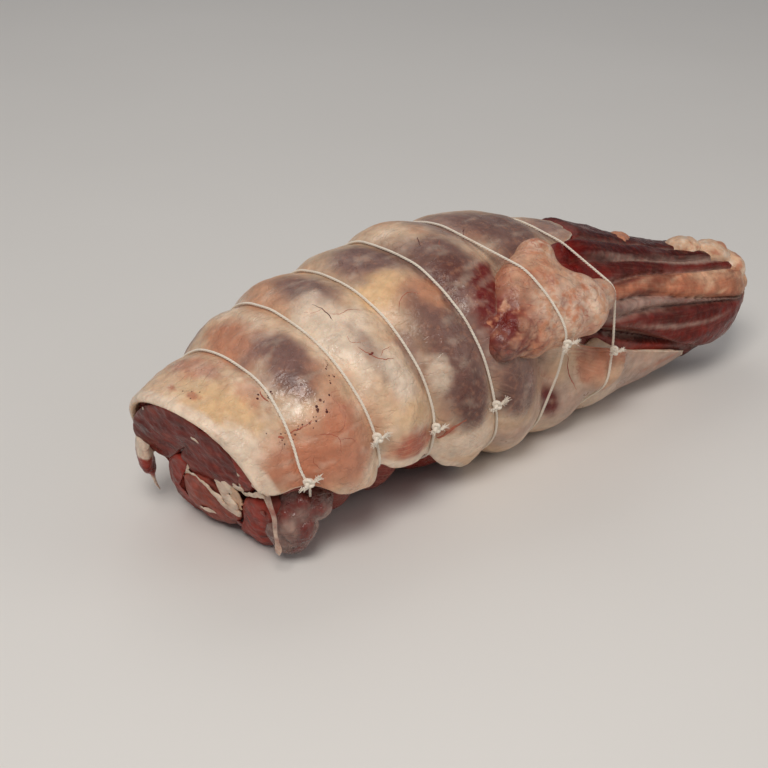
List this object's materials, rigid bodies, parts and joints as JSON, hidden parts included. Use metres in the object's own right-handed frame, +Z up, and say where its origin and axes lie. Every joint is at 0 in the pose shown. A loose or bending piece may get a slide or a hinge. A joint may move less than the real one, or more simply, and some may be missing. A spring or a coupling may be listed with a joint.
{
  "type": "raw leg of lamb",
  "caption": "Raw leg of lamb, part boned: straight cut end, shank folded back over the thigh with its knuckle on top, rolled and held by rings of knotted twine.",
  "frame": {"origin": "on the table, under the middle of the leg's overall box", "axes": "+X along the leg from the cut end to the fold of the shank, -Y towards the side with the knots, +Z up as it lies"},
  "size_m": [0.3548, 0.1257, 0.1129],
  "materials": {
    "fat_and_skin": "moist cream fat and mauve silverskin over red meat, soft satin gloss",
    "cut_meat": "moist raw cut lamb, maroon muscle with cream seams of fat",
    "knuckle": "moist gristle and bone end, peach with cream and blood-red clefts",
    "twine": "undyed cotton butcher's twine, twisted, matt"
  },
  "bodies": {
    "root": {"leg": "fat_and_skin", "twine_1": "twine", "twine_2": "twine", "twine_3": "twine", "twine_4": "twine", "twine_5": "twine", "twine_6": "twine"}
  },
  "joints": []
}
